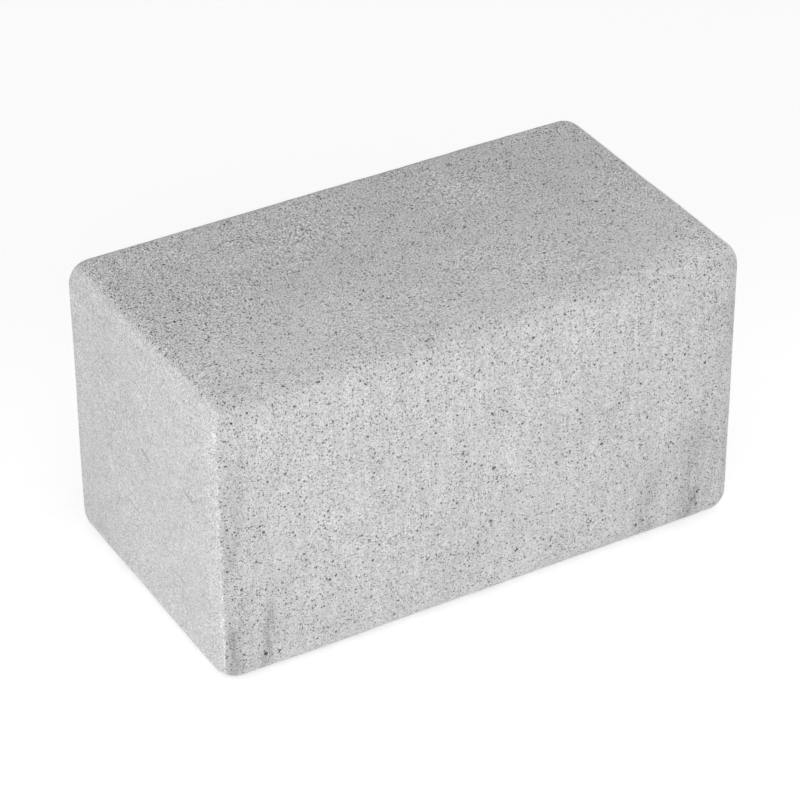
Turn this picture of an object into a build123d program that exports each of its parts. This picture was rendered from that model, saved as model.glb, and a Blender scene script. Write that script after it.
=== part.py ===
from build123d import *
import os

# A brick of rigid, fine-pored floral foam, moulded and cut in one piece.
# Frame: millimetres, origin at the centre of the base, +X along the length, +Z up.

LENGTH = 200.0  # along X
WIDTH = 110.0  # along Y
HEIGHT = 108.0  # along Z
EDGE_RADIUS = 8.7  # shared by all twelve edges, so each corner is an eighth of a ball


def foam_brick():
    """The whole brick: foam right through, with no core, skin, wrapper or tray."""
    standing_on_its_base = (Align.CENTER, Align.CENTER, Align.MIN)
    sharp_block = Box(LENGTH, WIDTH, HEIGHT, align=standing_on_its_base)
    rounded_block = fillet(sharp_block.edges(), EDGE_RADIUS)
    rounded_block.label = "foam_brick"
    return rounded_block


os.makedirs("parts", exist_ok=True)
export_step(foam_brick(), "parts/foam_brick.step")
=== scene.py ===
import math

import bpy
import numpy as np
from mathutils import Matrix, Vector
from mathutils.geometry import delaunay_2d_cdt


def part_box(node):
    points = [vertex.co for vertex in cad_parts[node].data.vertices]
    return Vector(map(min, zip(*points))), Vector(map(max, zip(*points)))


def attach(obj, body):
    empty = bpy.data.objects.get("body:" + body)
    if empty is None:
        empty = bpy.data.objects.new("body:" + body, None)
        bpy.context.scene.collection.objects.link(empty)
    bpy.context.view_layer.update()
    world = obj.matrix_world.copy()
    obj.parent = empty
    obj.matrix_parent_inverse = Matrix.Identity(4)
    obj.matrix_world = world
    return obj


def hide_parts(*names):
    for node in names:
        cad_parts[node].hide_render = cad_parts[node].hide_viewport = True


# A brick of floral foam on a pale studio floor. Lengths on the brick are in millimetres until its mesh is
# made; the floor, the lights and the camera are in metres.

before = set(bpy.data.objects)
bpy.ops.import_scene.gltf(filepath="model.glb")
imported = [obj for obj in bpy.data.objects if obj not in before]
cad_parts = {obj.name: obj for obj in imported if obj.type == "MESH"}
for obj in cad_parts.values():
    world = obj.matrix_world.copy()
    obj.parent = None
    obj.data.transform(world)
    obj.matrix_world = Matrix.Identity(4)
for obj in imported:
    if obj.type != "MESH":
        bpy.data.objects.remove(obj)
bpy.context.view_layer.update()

MM = 0.001
NODE = "foam_brick"
SEED = 11

# ---------------------------------------------------------------- the brick's outer form

FLAT_TOLERANCE = 0.01

low_corner, high_corner = (np.array(corner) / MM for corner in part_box(NODE))
HALF = (high_corner - low_corner) / 2
CENTRE = (high_corner + low_corner) / 2


def rounding_radius():
    """How far the top face's flat stops short of the side: the radius of the rounded edges."""
    corners = np.array([vertex.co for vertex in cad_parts[NODE].data.vertices]) / MM
    on_top = corners[corners[:, 2] > high_corner[2] - FLAT_TOLERANCE]
    return high_corner[0] - on_top[:, 0].max()


RADIUS = rounding_radius()
EIGHTH_TURN = math.pi / 4
BAND = RADIUS * EIGHTH_TURN  # arc from a flat's rim to the line where two sides meet

# Each side as the axis to its right, the axis up it, and its outward normal.
X, Y, Z = np.eye(3)
SIDES = {
    "front": (X, Z, -Y),
    "back": (-X, Z, Y),
    "top": (X, Y, Z),
    "bottom": (X, -Y, -Z),
    "left": (-Y, Z, -X),
    "right": (Y, Z, X),
}


def half_extent(axis):
    return float(abs(axis) @ HALF)


def side_reach(side):
    """Half the width and half the height of a side laid flat, out to the middle of its rounded edges."""
    right, up, _ = SIDES[side]
    return np.array([half_extent(right) - RADIUS + BAND, half_extent(up) - RADIUS + BAND])


def onto_brick(side, flat):
    """Points of a flat side wrapped onto the rounded brick, and the outward normals there."""
    right, up, out = SIDES[side]
    core = np.zeros((len(flat), 3)) + out * (half_extent(out) - RADIUS)
    lean = np.zeros((len(flat), 3)) + out
    for axis, along in ((right, flat[:, 0]), (up, flat[:, 1])):
        straight = half_extent(axis) - RADIUS
        turned = np.clip(np.abs(along) - straight, 0, BAND) / RADIUS
        core += np.outer(np.clip(along, -straight, straight), axis)
        lean += np.outer(np.sign(along) * np.tan(turned), axis)
    normals = lean / np.linalg.norm(lean, axis=1, keepdims=True)
    return CENTRE + core + RADIUS * normals, normals


# ---------------------------------------------------------------- where the pores are

# Open pores per square centimetre on each side. The ends are smoother than the long sides.
PORES_PER_CM2 = {"front": 10.0, "back": 10.0, "top": 8.0, "bottom": 8.0, "left": 0.4, "right": 0.4}
MM2_PER_CM2 = 100
PORE_RADIUS = 0.27  # the middle of the range
PORE_SPREAD = 0.30  # of the logarithm of the radius
PORE_RADIUS_LIMITS = (0.17, 0.6)
PORE_GAP = 0.16  # least foam between two pores
CLUSTERED = 0.3  # share of the pores that opened close to another one
CLUSTER_REACH = 1.5
TRIES_PER_PORE = 3

# Room kept for a pore, in radii, because its ragged rim reaches out past its radius.
ROOM_BY_PORE = 1.35
ROOM_BY_BORDER = 1.5

# The largest pores that show, as place on the side (right, up from its middle) and radius.
LARGE_PORES = {
    "front": [(-92, -15, 0.6), (-60, -23, 0.65), (-75, 24, 0.6), (-43, 13, 0.5), (-43.5, 11.5, 0.45),
              (-84, -44, 0.85), (-59, 45, 0.6), (-93, 49, 0.5), (-96, 9, 0.5), (34, 11, 0.6), (35, 7, 0.55),
              (33, 8, 0.4), (44, -6, 0.6), (59, 13, 0.6), (59, -45, 0.7), (75, -31, 0.6), (48, 29, 0.55),
              (75, 6, 0.5), (77, 1, 0.45), (84, -45, 0.6), (84, -40, 0.5), (51, 12, 0.45), (-23, 34, 0.6),
              (-10, 9, 0.6), (2, -1, 0.8), (-12, -10, 0.6), (1, -22, 0.8), (1, 21, 0.5)],
    "top": [(42, 42, 1.1), (-22, 30, 1.0), (-36, 7, 0.7), (-67, 26, 0.7), (62, 24, 0.7), (60, 34, 0.6),
            (-7, 46, 0.7), (30, 26, 0.6), (72, -5, 0.6), (-19, -22, 0.7)],
    "left": [(-25, 31, 0.5), (-18, -21, 0.45), (-29, -45, 0.45), (-35, -42.5, 0.35), (24, -7, 0.35)],
}


def scatter_pores(side, rng):
    """Places and radii of the pores of one side, none touching another or the side's border."""
    reach = side_reach(side)
    area = (2 * reach).prod()
    wanted = int(PORES_PER_CM2[side] * area / MM2_PER_CM2)
    tries = TRIES_PER_PORE * wanted
    radii = PORE_RADIUS * np.exp(PORE_SPREAD * rng.normal(size=tries))
    radii = np.clip(radii, *PORE_RADIUS_LIMITS)
    places = rng.uniform(-reach, reach, size=(tries, 2))
    nearby = rng.normal(scale=CLUSTER_REACH, size=(tries, 2))
    joins_cluster = rng.random(tries) < CLUSTERED
    kept = [np.array(pore, float) for pore in LARGE_PORES.get(side, [])]
    for place, offset, joins, radius in zip(places, nearby, joins_cluster, radii):
        if len(kept) >= wanted:
            break
        if joins and kept:
            place = kept[-1][:2] + offset
        if np.any(np.abs(place) > reach - ROOM_BY_BORDER * radius - PORE_GAP):
            continue
        if kept:
            others = np.array(kept)
            apart = np.linalg.norm(others[:, :2] - place, axis=1)
            if np.any(apart < ROOM_BY_PORE * (others[:, 2] + radius) + PORE_GAP):
                continue
        kept.append(np.array([*place, radius]))
    return kept


# ---------------------------------------------------------------- the form of a pore

# Distances from a pore's middle, and depths, are in radii of the pore.
RAGGEDNESS = (0.82, 1.18)  # how far out the points of a ring lie
PORE_STRETCH = (1.0, 1.5)  # length over width
PORE_DEPTH = (1.0, 1.7)
BOTTOM_SHIFT = 0.12
RIM_POINTS = 6

# A large pore has more points on its rim and a ring of points on its wall.
LARGE_RADIUS = 0.4
LARGE_RIM_POINTS = 9
WALL_POINTS = 6
WALL_REACH = 0.68
WALL_DEPTH = (0.6, 0.9)  # share of the pore's depth


def ring(centre, radius, count, stretch, turn, rng):
    """A ragged ellipse of points."""
    angles = np.arange(count) * 2 * math.pi / count + turn
    wobble = radius * rng.uniform(*RAGGEDNESS, count)
    x = wobble * np.cos(angles) * stretch
    y = wobble * np.sin(angles) / stretch
    cosine, sine = math.cos(turn), math.sin(turn)
    return centre + np.column_stack([x * cosine - y * sine, x * sine + y * cosine])


def pore_points(pore, rng):
    """The points of one pore, how deep each lies, and how many of them form its rim."""
    centre, radius = pore[:2], pore[2]
    stretch = math.sqrt(rng.uniform(*PORE_STRETCH))
    turn = rng.uniform(0, 2 * math.pi)
    depth = radius * rng.uniform(*PORE_DEPTH)
    large = radius > LARGE_RADIUS
    rim_count = LARGE_RIM_POINTS if large else RIM_POINTS
    points = [ring(centre, radius, rim_count, stretch, turn, rng)]
    depths = [np.zeros(rim_count)]
    if large:
        points.append(ring(centre, WALL_REACH * radius, WALL_POINTS, stretch, turn, rng))
        depths.append(depth * rng.uniform(*WALL_DEPTH, WALL_POINTS))
    points.append(centre + rng.normal(scale=BOTTOM_SHIFT * radius, size=(1, 2)))
    depths.append(np.array([depth]))
    return np.vstack(points), np.concatenate(depths), rim_count


# ---------------------------------------------------------------- the mesh of one side

FLAT_SPACING = 2.0  # between the points of the flats
EDGE_SPACING = 1.25  # between the points of the rounded edges and along the borders
JITTER = 0.3  # share of the spacing
RIM_REACH = 1.4  # about how far out a pore's rim may lie, in radii
RIM_MARGIN = 0.25  # least distance from there to the points round about
OUT_TO_HULL = 0  # delaunay_2d_cdt's number for triangles out to the convex hull
COINCIDENT = 1e-6


def border_steps(axis):
    """Places along a border of a side. The two sides that share the border get the same ones."""
    reach = half_extent(axis) - RADIUS + BAND
    return np.linspace(-reach, reach, round(2 * reach / EDGE_SPACING) + 1)


def jittered_grid(reach, spacing, rng):
    steps = [np.arange(-r + spacing / 2, r - spacing / 4, spacing) for r in reach]
    grid = np.stack(np.meshgrid(*steps), -1).reshape(-1, 2)
    return grid + rng.uniform(-JITTER, JITTER, grid.shape) * spacing


def fill_points(reach, pores, rng):
    """Points between the pores of a side, closer together on its rounded edges."""
    flat_reach = reach - BAND - EDGE_SPACING
    coarse = jittered_grid(reach, FLAT_SPACING, rng)
    fine = jittered_grid(reach, EDGE_SPACING, rng)
    fill = np.vstack([
        coarse[np.all(np.abs(coarse) < flat_reach, axis=1)],
        fine[np.any(np.abs(fine) >= flat_reach, axis=1)],
    ])
    fill = fill[np.all(np.abs(fill) < reach - EDGE_SPACING / 2, axis=1)]
    clear = np.ones(len(fill), bool)
    for x, y, radius in pores:
        clear &= np.hypot(fill[:, 0] - x, fill[:, 1] - y) > RIM_REACH * radius + RIM_MARGIN
    return fill[clear]


def side_points(side, pores, rng):
    """All points of a side laid flat, their depths, and the rim edges that the triangles must keep."""
    right, up, _ = SIDES[side]
    reach = side_reach(side)
    border = [(x, y) for x in border_steps(right) for y in (-reach[1], reach[1])]
    border += [(x, y) for x in (-reach[0], reach[0]) for y in border_steps(up)[1:-1]]
    fill = fill_points(reach, pores, rng)
    start = len(border) + len(fill)
    points, depths, rim_edges = [np.array(border), fill], [np.zeros(start)], []
    for pore in pores:
        places, deep, rim_count = pore_points(pore, rng)
        points.append(places)
        depths.append(deep)
        rim_edges += [(start + i, start + (i + 1) % rim_count) for i in range(rim_count)]
        start += len(places)
    return np.vstack(points), np.concatenate(depths), rim_edges


def triangulate(points, edges):
    """Delaunay triangles over the points, keeping the given edges."""
    result = delaunay_2d_cdt([Vector(point) for point in points], edges, [], OUT_TO_HULL, COINCIDENT)
    corners, _, triangles, sources = result[:4]
    original = [source[0] for source in sources]
    assert len(corners) == len(points), "two points of a side coincide, or two rims cross"
    return np.array([[original[i] for i in triangle] for triangle in triangles])


# ---------------------------------------------------------------- unevenness

# Relief as its depth, wavelength and number of waves.
DENTS = ((0.10, 60, 16), (0.03, 9, 24))
EDGE_WEAR = (0.14, 7, 24)
UNWORN = 0.1  # waves below this leave an edge as it is
WAVELENGTH_RANGE = (0.7, 1.4)  # share of the stated wavelength


def waves(points, wavelength, count, rng):
    """Smooth random relief between about -1 and 1: a sum of plane waves in random directions."""
    directions = rng.normal(size=(count, 3))
    directions /= np.linalg.norm(directions, axis=1, keepdims=True)
    lengths = wavelength * rng.uniform(*WAVELENGTH_RANGE, count)
    phases = rng.uniform(0, 2 * math.pi, count)
    swing = np.cos(points @ (2 * math.pi * directions / lengths[:, None]).T + phases)
    return swing.sum(axis=1) / math.sqrt(2 * count)


def edge_nearness(points):
    """1 on the middle line of a rounded edge, 0 on the flats."""
    inside = np.abs(points - CENTRE) - (HALF - RADIUS)
    in_round = np.sort(np.clip(inside, 0, RADIUS) / RADIUS, axis=1)
    return np.clip(in_round[:, 1] / math.sin(EIGHTH_TURN), 0, 1)


def unevenness(points, rng):
    """How far the foam lies under its ideal outer form."""
    sunk = np.zeros(len(points))
    for depth, wavelength, count in DENTS:
        sunk += np.clip(depth * (1 + waves(points, wavelength, count, rng)), 0, None)
    depth, wavelength, count = EDGE_WEAR
    worn = depth * np.clip(waves(points, wavelength, count, rng) - UNWORN, 0, None)
    return sunk + worn * edge_nearness(points) ** 2


# ---------------------------------------------------------------- the whole brick

LAYOUT_COLUMNS = (("front", "back", "top"), ("bottom", "left", "right"))
LAYOUT_GAP = 3.0
SAME_POINT_DIGITS = 4
SHARP_ANGLE = math.radians(38)


def texture_layout():
    """Lower left corner of each side in a flat layout without overlaps, and the layout's size."""
    corners = {}
    tallest, x = 0.0, LAYOUT_GAP
    for column in LAYOUT_COLUMNS:
        y = LAYOUT_GAP
        for side in column:
            corners[side] = np.array([x, y])
            y += 2 * side_reach(side)[1] + LAYOUT_GAP
        tallest = max(tallest, y)
        x += max(2 * side_reach(side)[0] for side in column) + LAYOUT_GAP
    return corners, np.array([x, tallest])


def make_sides(rng):
    """The points of all six sides as places, normals, depths and places in the layout, and the triangles."""
    layout, layout_size = texture_layout()
    sides = []
    start = 0
    for side in SIDES:
        pores = scatter_pores(side, rng)
        flat, depths, rim_edges = side_points(side, pores, rng)
        places, normals = onto_brick(side, flat)
        in_layout = (layout[side] + side_reach(side) + flat) / layout_size
        sides.append((places, normals, depths, in_layout, triangulate(flat, rim_edges) + start))
        start += len(flat)
    return [np.concatenate(values) for values in zip(*sides)]


def build_brick():
    rng = np.random.default_rng(SEED)
    places, normals, depths, in_layout, triangles = make_sides(rng)

    # The points of a border are in the lists of all the sides that meet there. The mesh has them once.
    rounded = np.round(places, SAME_POINT_DIGITS)
    _, first, shared = np.unique(rounded, axis=0, return_index=True, return_inverse=True)
    sunk = depths[first] + unevenness(places[first], rng)
    surface = places[first] - normals[first] * sunk[:, None]

    mesh = bpy.data.meshes.new(NODE + "_look")
    mesh.from_pydata((surface * MM).tolist(), [], shared.reshape(-1)[triangles].tolist())
    layer = mesh.uv_layers.new(name="OFBake")
    layer.data.foreach_set("uv", in_layout[triangles.reshape(-1)].astype(np.float32).ravel())
    # The depth also sets how much painted shade a point of a pore gets.
    pore_depth = mesh.attributes.new("pore_depth", "FLOAT", "POINT")
    pore_depth.data.foreach_set("value", np.clip(depths[first] / PORE_RADIUS, 0, 1).astype(np.float32))
    mesh.shade_smooth()
    mesh.set_sharp_from_angle(angle=SHARP_ANGLE)
    mesh.validate()
    brick = bpy.data.objects.new("foam_brick_look", mesh)
    bpy.context.scene.collection.objects.link(brick)
    return brick


brick = build_brick()
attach(brick, "root")
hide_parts(NODE)

# ---------------------------------------------------------------- short ways to make nodes

class Nodes:
    """Adds nodes to one tree. A value may be a number, a vector or another node's output."""

    def __init__(self, tree):
        self.tree = tree
        tree.nodes.clear()

    def add(self, kind, inputs=None, **settings):
        node = self.tree.nodes.new(kind)
        for name, value in settings.items():
            setattr(node, name, value)
        for name, value in (inputs or {}).items():
            if isinstance(value, bpy.types.NodeSocket):
                self.tree.links.new(value, node.inputs[name])
            else:
                node.inputs[name].default_value = value
        return node

    def math(self, operation, *values):
        return self.add("ShaderNodeMath", dict(enumerate(values)), operation=operation).outputs[0]

    def joined(self, operation, values):
        result = values[0]
        for value in values[1:]:
            result = self.math(operation, result, value)
        return result

    def product(self, *values):
        return self.joined("MULTIPLY", values)

    def total(self, *values):
        return self.joined("ADD", values)

    def largest(self, *values):
        return self.joined("MAXIMUM", values)

    def darkened(self, tone, share):
        return self.product(tone, self.math("SUBTRACT", 1.0, share))

    def lightened(self, tone, share):
        return self.product(tone, self.math("ADD", 1.0, share))

    def scaled_on(self, region, tone, factor):
        """The tone times a factor where the region is 1, and unchanged where it is 0."""
        return self.product(tone, self.blend(region, 1.0, factor))

    def ramp(self, value, start, end, low=0.0, high=1.0):
        """Smooth step of a value: low at start, high at end. start may be the larger of the two."""
        inputs = {"Value": value, "From Min": start, "From Max": end, "To Min": low, "To Max": high}
        node = self.add("ShaderNodeMapRange", inputs, interpolation_type="SMOOTHSTEP")
        return node.outputs["Result"]

    def blend(self, amount, low, high):
        """A plain mix of two numbers."""
        inputs = {"Value": amount, "To Min": low, "To Max": high}
        return self.add("ShaderNodeMapRange", inputs).outputs["Result"]

    def noise(self, place, grain, detail=2.0, roughness=0.5):
        """Noise about 0.5, with lumps about one grain across."""
        inputs = {"Vector": place, "Scale": 1 / grain, "Detail": detail, "Roughness": roughness}
        return self.add("ShaderNodeTexNoise", inputs).outputs["Fac"]

    def patches(self, place, grain, start, end, low=0.0, high=1.0, detail=2.0):
        """Patches about one grain across: low where the noise is at start, high where it is at end."""
        return self.ramp(self.noise(place, grain, detail), start, end, low, high)

    def stretched(self, place, scale):
        return self.add("ShaderNodeVectorMath", {0: place, 1: scale}, operation="MULTIPLY").outputs[0]

    def stroke(self, on_side, start, stop, half_width):
        """1 along a straight stroke between two points of a side, fading out at its ends and edges."""
        length = math.dist(start, stop)
        step = [(b - a) / length for a, b in zip(start, stop)]
        middle = [(a + b) / 2 for a, b in zip(start, stop)]
        from_middle = [self.math("SUBTRACT", place, centre) for place, centre in zip(on_side, middle)]
        along = self.math("MULTIPLY_ADD", from_middle[0], step[0], self.product(from_middle[1], step[1]))
        across = self.math("MULTIPLY_ADD", from_middle[0], -step[1], self.product(from_middle[1], step[0]))
        sides = self.ramp(self.math("ABSOLUTE", across), half_width, 0.0)
        return self.product(sides, self.ramp(self.math("ABSOLUTE", along), length / 2, length / 6))

    def pores(self, place, spacing, smallest, largest, skew=1.6, floor_share=0.35):
        """1 inside round pores that are strewn through the whole foam, 0 outside them.

        A skew above 1 makes most of them small. The middle of each, floor_share of its radius, is flat.
        """
        cells = self.add("ShaderNodeTexVoronoi", {"Vector": place, "Scale": 1 / spacing})
        chance = self.add("ShaderNodeSeparateColor", {"Color": cells.outputs["Color"]}).outputs[0]
        mostly_small = self.math("POWER", chance, skew)
        rim = self.blend(mostly_small, smallest / spacing, largest / spacing)
        floor = self.math("MULTIPLY", rim, floor_share)
        return self.ramp(cells.outputs["Distance"], rim, floor)


# ---------------------------------------------------------------- where a point of the foam lies

END_OVERLAP = 2.7  # how far the look of the ends reaches over onto the top and the bottom
SEAM_RAGGEDNESS = 0.9  # how far a line between two sides strays to either side
SEAM_BLUR = 2.0


class Spot:
    """Where a point of the foam lies, as node outputs.

    place, x, y and z are millimetres. under_end, under_face and under_level are 0 on the planes of the
    ends, of the front and back, and of the top and bottom, and less than 0 inside. end, face, level and
    front are 1 on those sides and 0 elsewhere, and change over near the middle of the rounded edges.
    """

    def __init__(self, n):
        in_metres = n.add("ShaderNodeTexCoord").outputs["Object"]
        scaling = n.add("ShaderNodeVectorMath", {0: in_metres, "Scale": 1 / MM}, operation="SCALE")
        self.place = scaling.outputs[0]
        self.x, self.y, self.z = n.add("ShaderNodeSeparateXYZ", {0: self.place}).outputs
        above_middle = n.math("SUBTRACT", self.z, float(CENTRE[2]))
        self.under_end, self.under_face, self.under_level = (
            n.math("SUBTRACT", n.math("ABSOLUTE", from_middle), float(half))
            for from_middle, half in zip((self.x, self.y, above_middle), HALF)
        )

        stray = SEAM_RAGGEDNESS
        self.ragged = n.patches(self.place, 2.2, 0.2, 0.8, -stray, stray, detail=3)
        overlapped = n.math("SUBTRACT", self.under_level, END_OVERLAP)
        self.toward_end = n.math("SUBTRACT", self.under_end, n.largest(self.under_face, overlapped))
        highest = n.largest(self.under_end, self.under_level)
        self.toward_face = n.math("SUBTRACT", self.under_face, highest)
        self.end = n.ramp(n.total(self.toward_end, self.ragged), -0.4, 0.9)
        long_side = n.math("SUBTRACT", 1.0, self.end)
        self.face = n.product(n.ramp(self.toward_face, -SEAM_BLUR, SEAM_BLUR), long_side)
        self.level = n.product(n.ramp(self.toward_face, SEAM_BLUR, -SEAM_BLUR), long_side)
        self.front = n.product(self.face, n.math("LESS_THAN", self.y, 0.0))


# ---------------------------------------------------------------- marks on the foam, and painted light and shade

# How much each mark darkens or lightens the foam, as a share of its tone where the mark is plain.
# The crest shade is painted shade on the top and bottom before the front and back edges.
PAINTED_CREST_SHADE = 0.11
# The rim line is partly rubbed wear and partly painted highlight; the rim band is painted light.
RIM_LINE = 0.08
PAINTED_RIM_LIGHT = 0.075
DARK_MARGIN = 0.06
EDGE_RUB = 0.06
CORNER_RUB = 0.07

WORN_CORNER = (87, -50, 108)  # the middle of a rubbed place at the front right corner of the top

# Dark marks on the front: smears, and on its right half broad faint ones low down that are painted shade at
# its foot. Each as place along the length at the lower and at the upper end, heights of those ends, half
# width and strength.
SMEARS_AND_PAINTED_FOOT_SHADE = (
    (-84, -81, 0, 42, 3.0, 0.30),
    (-96, -94, 0, 34, 5.0, 0.28),
    (-98, -90, 38, 92, 4.5, 0.10),
    (81, 82, 10, 46, 6.0, 0.09),
    (80, 84, 0, 60, 11.0, 0.09),
    (80, 83, 0, 22, 7.0, 0.20),
    (63, 64, 0, 34, 6.0, 0.12),
    (60, 64, 0, 50, 10.0, 0.07),
    (48, 50, 0, 14, 12.0, 0.06),
)
MARK_ONSET = (-6, 2)  # where a mark sets in, up from its lower end

# Scratches on the left end: the two ends of each as place across and height, then half width and
# strength. The last one is a pale mark.
SCRATCHES = (
    (0, 65.3, -9, 62.6, 0.8, 0.5),
    (-31, 66.2, -41, 66, 0.6, 0.42),
    (-36, 59, -44, 60.2, 0.5, 0.32),
    (12, 38, 4, 36, 0.6, 0.20),
    (-22, 30, -32, 27, 0.6, 0.18),
    (24.2, 51, 22, 40, 2.4, -0.20),
)


def painted_crest_shade(n, spot):
    """Painted shade: a darker band on the top and the bottom, just before they turn into the front and back.
    """
    stray = SEAM_RAGGEDNESS
    wavering = n.patches(spot.place, 20, 0.3, 0.7, -stray, stray)
    before_seam = n.ramp(n.total(spot.toward_face, spot.ragged, wavering), 0.3, -0.5)
    return n.product(n.ramp(spot.toward_face, -7.5, -2.5), before_seam, spot.level, PAINTED_CREST_SHADE)


def rubbed_rims_and_painted_light(n, spot):
    """The rims of the ends: a whitish line, partly rubbed wear and partly painted highlight, and on the top
    and bottom a pale band of painted light beside it, against the shade of the rounded edge.
    """
    highest = n.largest(spot.under_face, spot.under_level)
    past_seam = n.total(n.math("SUBTRACT", spot.under_end, highest), spot.ragged)
    line = n.product(n.ramp(past_seam, 0.1, 0.8), n.ramp(past_seam, 2.0, 0.9), RIM_LINE)
    line = n.product(line, n.patches(spot.place, 9, 0.35, 0.6, 0.5, 1.0))
    beside_level = n.ramp(n.math("SUBTRACT", spot.under_level, spot.under_face), -SEAM_BLUR, SEAM_BLUR)
    band = n.product(n.ramp(past_seam, -3.6, -2.4), n.ramp(past_seam, 6.0, 3.5), beside_level, PAINTED_RIM_LIGHT)
    return n.total(line, band)


def dark_margins(n, spot):
    """Darker open foam on the front and back beside the ends."""
    margin = n.product(n.ramp(spot.toward_end, -24.0, -5.0), spot.face)
    return n.product(margin, n.patches(spot.place, 12, 0.35, 0.65, 0.3, 1.3), DARK_MARGIN)


def rubbed_edges(n, spot):
    """Pale rubbed spots on the edges between the long sides, and one at a corner."""
    from_ridge = n.math("ABSOLUTE", n.math("SUBTRACT", spot.under_face, spot.under_level))
    outermost = n.largest(spot.under_face, spot.under_level)
    ridge = n.product(n.ramp(from_ridge, 5.0, 0.0), n.ramp(outermost, -4.0, -1.5))
    edges = n.product(ridge, n.patches(spot.place, 5, 0.5, 0.72, detail=3), EDGE_RUB)
    from_corner = n.add("ShaderNodeVectorMath", {0: spot.place, 1: WORN_CORNER}, operation="DISTANCE")
    corner = n.product(n.ramp(from_corner.outputs["Value"], 15.0, 4.0), CORNER_RUB)
    return n.total(edges, corner)


def painted_front_light(n, spot):
    """Painted light: the front half of the top and bottom is paler, where the front light falls, and more so
    to the right.
    """
    return n.product(n.ramp(spot.y, 10.0, -35.0), spot.level, n.ramp(spot.x, -95.0, 95.0, 0.05, 0.09))


def smeared_and_shaded(n, spot, tone):
    """The tone with the dark smears on the front, and with painted shade low on its right half."""
    patchy = n.patches(n.stretched(spot.place, (1.0, 1.0, 0.3)), 2.5, 0.3, 0.7, 0.3, 1.2, detail=3)
    for low_x, high_x, low_z, high_z, half_width, strength in SMEARS_AND_PAINTED_FOOT_SHADE:
        slope = (high_x - low_x) / (high_z - low_z)
        middle = n.math("MULTIPLY_ADD", spot.z, slope, low_x - slope * low_z)
        across = n.ramp(n.math("ABSOLUTE", n.math("SUBTRACT", spot.x, middle)), half_width, 0.0)
        fading_up = n.ramp(spot.z, high_z, (low_z + high_z) / 2)
        fading_down = n.ramp(spot.z, low_z + MARK_ONSET[0], low_z + MARK_ONSET[1])
        tone = n.darkened(tone, n.product(across, fading_up, fading_down, patchy, spot.front, strength))
    return tone


def scratched(n, spot, tone):
    """The tone with faint brush marks on both ends, and the scratches on the left one."""
    brushed = n.patches(n.stretched(spot.place, (1.0, 0.12, 1.0)), 1.3, 0.58, 0.72, 1.0, 0.93)
    tone = n.scaled_on(spot.end, tone, brushed)
    left_end = n.product(spot.end, n.math("LESS_THAN", spot.x, 0.0))
    for start_y, start_z, end_y, end_z, half_width, strength in SCRATCHES:
        scratch = n.stroke((spot.y, spot.z), (start_y, start_z), (end_y, end_z), half_width)
        tone = n.darkened(tone, n.product(scratch, left_end, strength))
    return tone


# ---------------------------------------------------------------- foam material

# How much light the plain foam gives back, on the long sides and on the ends.
LONG_SIDE_TONE = 0.586
END_TONE = 0.638
LEVEL_EXTRA = 0.029  # how much more it is on the top and the bottom

# The foam's grain: lump size, detail and roughness of the noise.
GRAIN = (0.42, 1.5, 0.6)
COARSE_GRAIN = (1.7, 2.0, 0.55)
MIDDLE_OF_NOISE = 0.5

# How strongly the grain shows in the tone, on the long sides and on the ends.
GRAIN_SHOWS = (0.73, 0.90)
COARSE_GRAIN_SHOWS = (0.24, 0.44)
GRAIN_GAIN = 2.1

# Small pores through the whole foam: their spacing, smallest and largest radius, and darkness, which is
# painted shade inside them.
STREWN_PORES = (
    (0.95, 0.04, 0.44, 0.85),
    (1.8, 0.05, 0.6, 0.78),
    (0.62, 0.04, 0.34, 0.72),
)
STREWN_PORES_SHOW = (1.0, 0.44)  # on the long sides and on the ends
# Painted shade inside the modelled pores, darker the deeper the point.
MODELLED_PORE_PAINTED_SHADE = 0.58

# How much more the grain and those pores show on the top and the bottom, most of all on the back half; this
# is partly painted shade, darkest toward the back.
OPEN_AND_SHADED_LEVEL_GRAIN = 0.87
OPEN_AND_SHADED_LEVEL_PORES = 0.30

GRAIN_RELIEF = 0.5  # height of the grain beside the depth of the strewn pores
RELIEF_STRENGTH = 0.5
RELIEF_DEPTH = 0.3

ROUGHNESS_LIMITS = (0.86, 0.98)
SPECULAR_LEVEL = 0.2


def clouded_and_shaded(n, spot, tone):
    """The tone with its broad changes: painted shade on the front and back, darker toward the right end; the
    ends lighter toward the front; and clouds, blotches and upright streaks.
    """
    # Painted shade: the front and back darker toward the right end.
    tone = n.scaled_on(spot.face, tone, n.ramp(spot.x, 20.0, 95.0, 1.0, 0.955))
    tone = n.scaled_on(spot.end, tone, n.ramp(spot.y, 50.0, -50.0, 0.985, 1.035))
    tone = n.product(tone, n.patches(spot.place, 38, 0.25, 0.75, 0.965, 1.035))
    blotches = n.patches(spot.place, 9, 0.2, 0.8, -1.0, 1.0, detail=3)
    tone = n.lightened(tone, n.product(blotches, n.blend(spot.end, 0.025, 0.045)))
    upright = n.stretched(spot.place, (1.0, 1.0, 0.12))
    return n.scaled_on(spot.face, tone, n.patches(upright, 2.6, 0.35, 0.75, 0.98, 1.08))


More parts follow.
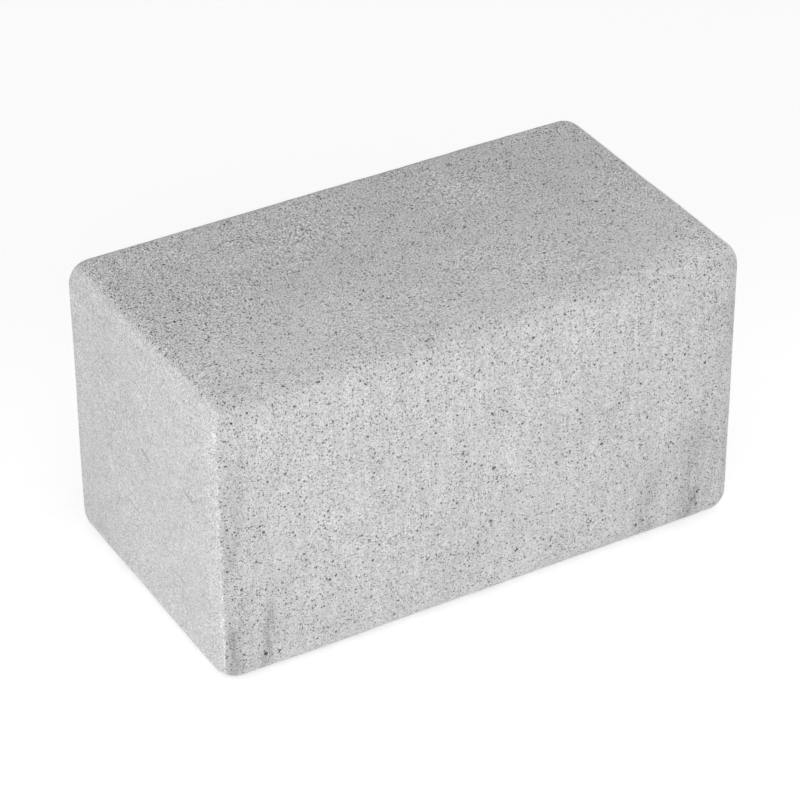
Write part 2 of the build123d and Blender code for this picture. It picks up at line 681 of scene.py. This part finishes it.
def foam_material():
    material = bpy.data.materials.new("foam")
    material.use_nodes = True
    n = Nodes(material.node_tree)
    spot = Spot(n)

    grain = n.noise(spot.place, *GRAIN)
    coarse_grain = n.noise(spot.place, *COARSE_GRAIN)
    pores = n.largest(*(
        n.product(n.pores(spot.place, spacing, smallest, largest), darkness)
        for spacing, smallest, largest, darkness in STREWN_PORES
    ))
    away_from_front = n.ramp(spot.y, -50.0, 5.0, 0.4, 1.0)
    # partly painted shade: more pore shade toward the back of the top and bottom
    open_and_shaded_level = n.product(spot.level, n.ramp(spot.toward_face, 0.0, -9.0), away_from_front)
    grain_shows = n.total(n.blend(spot.end, *GRAIN_SHOWS), n.product(open_and_shaded_level, OPEN_AND_SHADED_LEVEL_GRAIN))
    pores_show = n.total(n.blend(spot.end, *STREWN_PORES_SHOW), n.product(open_and_shaded_level, OPEN_AND_SHADED_LEVEL_PORES))
    crowding = n.patches(spot.place, 14, 0.3, 0.7, 0.75, 1.1)
    modelled_pores = n.add("ShaderNodeAttribute", attribute_name="pore_depth").outputs["Fac"]

    plain = n.blend(spot.end, LONG_SIDE_TONE, END_TONE)
    tone = n.total(plain, n.product(spot.level, LEVEL_EXTRA))
    # painted shade on the top and bottom before the front and back edges
    tone = n.darkened(tone, painted_crest_shade(n, spot))
    # broad tone changes, with painted shade toward the right end of the front and back
    tone = clouded_and_shaded(n, spot, tone)
    fine_lumps = n.product(n.math("SUBTRACT", grain, MIDDLE_OF_NOISE), grain_shows, GRAIN_GAIN)
    coarse_lumps = n.product(
        n.math("SUBTRACT", coarse_grain, MIDDLE_OF_NOISE),
        n.blend(spot.end, *COARSE_GRAIN_SHOWS),
    )
    tone = n.lightened(tone, n.total(fine_lumps, coarse_lumps))
    # painted shade inside the strewn pores
    tone = n.darkened(tone, n.product(pores, pores_show, crowding))
    # painted shade inside the modelled pores
    tone = n.darkened(tone, n.product(modelled_pores, MODELLED_PORE_PAINTED_SHADE))
    tone = n.darkened(tone, dark_margins(n, spot))
    # painted light on the front half of the top and bottom
    tone = n.lightened(tone, painted_front_light(n, spot))
    # rubbed wear and painted light at the rims of the ends, and the rubbed edges
    tone = n.lightened(tone, n.total(rubbed_rims_and_painted_light(n, spot), rubbed_edges(n, spot)))
    tone = scratched(n, spot, tone)
    # smears, and painted shade low on the right half of the front
    tone = smeared_and_shaded(n, spot, tone)

    raised = n.product(grain, grain_shows, GRAIN_RELIEF)
    bump = n.add("ShaderNodeBump", {
        "Height": n.math("SUBTRACT", raised, n.product(pores, pores_show)),
        "Strength": RELIEF_STRENGTH,
        "Distance": RELIEF_DEPTH * MM,
    })
    shader = n.add("ShaderNodeBsdfPrincipled", {
        "Base Color": n.add("ShaderNodeCombineColor", {0: tone, 1: tone, 2: tone}).outputs[0],
        "Roughness": n.ramp(grain, 0.2, 0.8, *ROUGHNESS_LIMITS),
        "Normal": bump.outputs["Normal"],
        "Specular IOR Level": SPECULAR_LEVEL,
    })
    n.add("ShaderNodeOutputMaterial", {"Surface": shader.outputs[0]})
    return material


brick.data.materials.append(foam_material())

# ---------------------------------------------------------------- floor, light and camera

FLOOR_HALF = 6.0

# Each softbox as its place, its width and height, and its watts.
SOFTBOXES = {
    "front_softbox": ((-0.03, -0.29, 0.27), 0.55, 0.10, 0.32),
    "left_softbox": ((-0.46, -0.19, 0.30), 0.35, 0.35, 0.33),
}

# The camera looks down past the front left corner.
CAMERA_TARGET = Vector((-2.7, -1.2, 50.5)) * MM
CAMERA_DISTANCE = 1.1613
CAMERA_AZIMUTH = math.radians(-29.74)
CAMERA_HEIGHT = math.radians(33.81)
CAMERA_ROLL = math.radians(0.41)
CAMERA_SENSOR = 36  # in millimetres, as is the lens
CAMERA_LENS = 154.2


def make_floor():
    """A pale floor that glows a little, so that it is nearly white in the picture."""
    mesh = bpy.data.meshes.new("floor")
    corners = [(-FLOOR_HALF, -FLOOR_HALF, 0), (FLOOR_HALF, -FLOOR_HALF, 0),
               (FLOOR_HALF, FLOOR_HALF, 0), (-FLOOR_HALF, FLOOR_HALF, 0)]
    mesh.from_pydata(corners, [], [(0, 1, 2, 3)])
    material = bpy.data.materials.new("pale_floor")
    material.use_nodes = True
    n = Nodes(material.node_tree)
    shader = n.add("ShaderNodeBsdfPrincipled", {
        "Base Color": (0.9, 0.9, 0.9, 1),
        "Roughness": 0.9,
        "Specular IOR Level": 0.1,
        "Emission Color": (1, 1, 1, 1),
        "Emission Strength": 0.37,
    })
    n.add("ShaderNodeOutputMaterial", {"Surface": shader.outputs[0]})
    mesh.materials.append(material)
    floor = bpy.data.objects.new("floor", mesh)
    bpy.context.scene.collection.objects.link(floor)


def make_world():
    """A studio with pale walls, brightest low down, and one broad light overhead."""
    world = bpy.data.worlds.new("studio")
    bpy.context.scene.world = world
    world.use_nodes = True
    n = Nodes(world.node_tree)
    direction = n.add("ShaderNodeTexCoord").outputs["Generated"]
    height = n.add("ShaderNodeSeparateXYZ", {0: direction}).outputs[2]  # 0 level, 1 straight up
    walls = n.ramp(height, 0.25, 0.6, 0.8, 0.25)
    horizon = n.ramp(height, 0.0, 0.12, 0.2, 0.0)
    overhead = n.ramp(height, 0.7, 0.9, 0.0, 0.75)
    glow = n.total(walls, horizon, overhead)
    background = n.add("ShaderNodeBackground", {"Color": (1, 1, 1, 1), "Strength": glow})
    n.add("ShaderNodeOutputWorld", {"Surface": background.outputs[0]})


def make_softbox(name, place, width, height, watts):
    """A rectangular light aimed at the middle of the brick, and not seen by the camera."""
    light = bpy.data.lights.new(name, "AREA")
    light.shape = "RECTANGLE"
    light.size = width
    light.size_y = height
    light.energy = watts
    lamp = bpy.data.objects.new(name, light)
    lamp.visible_camera = False
    lamp.location = place
    aim = Vector(CENTRE) * MM - lamp.location
    lamp.rotation_mode = "QUATERNION"
    lamp.rotation_quaternion = aim.to_track_quat("-Z", "Y")
    bpy.context.scene.collection.objects.link(lamp)


def make_camera():
    data = bpy.data.cameras.new("camera")
    data.sensor_width = CAMERA_SENSOR
    data.lens = CAMERA_LENS
    camera = bpy.data.objects.new("camera", data)
    back = Vector((
        math.sin(CAMERA_AZIMUTH) * math.cos(CAMERA_HEIGHT),
        -math.cos(CAMERA_AZIMUTH) * math.cos(CAMERA_HEIGHT),
        math.sin(CAMERA_HEIGHT),
    ))
    facing = (-back).to_track_quat("-Z", "Y").to_matrix().to_4x4()
    camera.matrix_world = (
        Matrix.Translation(CAMERA_TARGET + back * CAMERA_DISTANCE)
        @ facing
        @ Matrix.Rotation(-CAMERA_ROLL, 4, "Z")
    )
    bpy.context.scene.collection.objects.link(camera)
    bpy.context.scene.camera = camera


make_floor()
make_world()
for name, (place, width, height, watts) in SOFTBOXES.items():
    make_softbox(name, place, width, height, watts)
make_camera()
bpy.context.scene.view_settings.view_transform = "Standard"

bpy.context.view_layer.update()
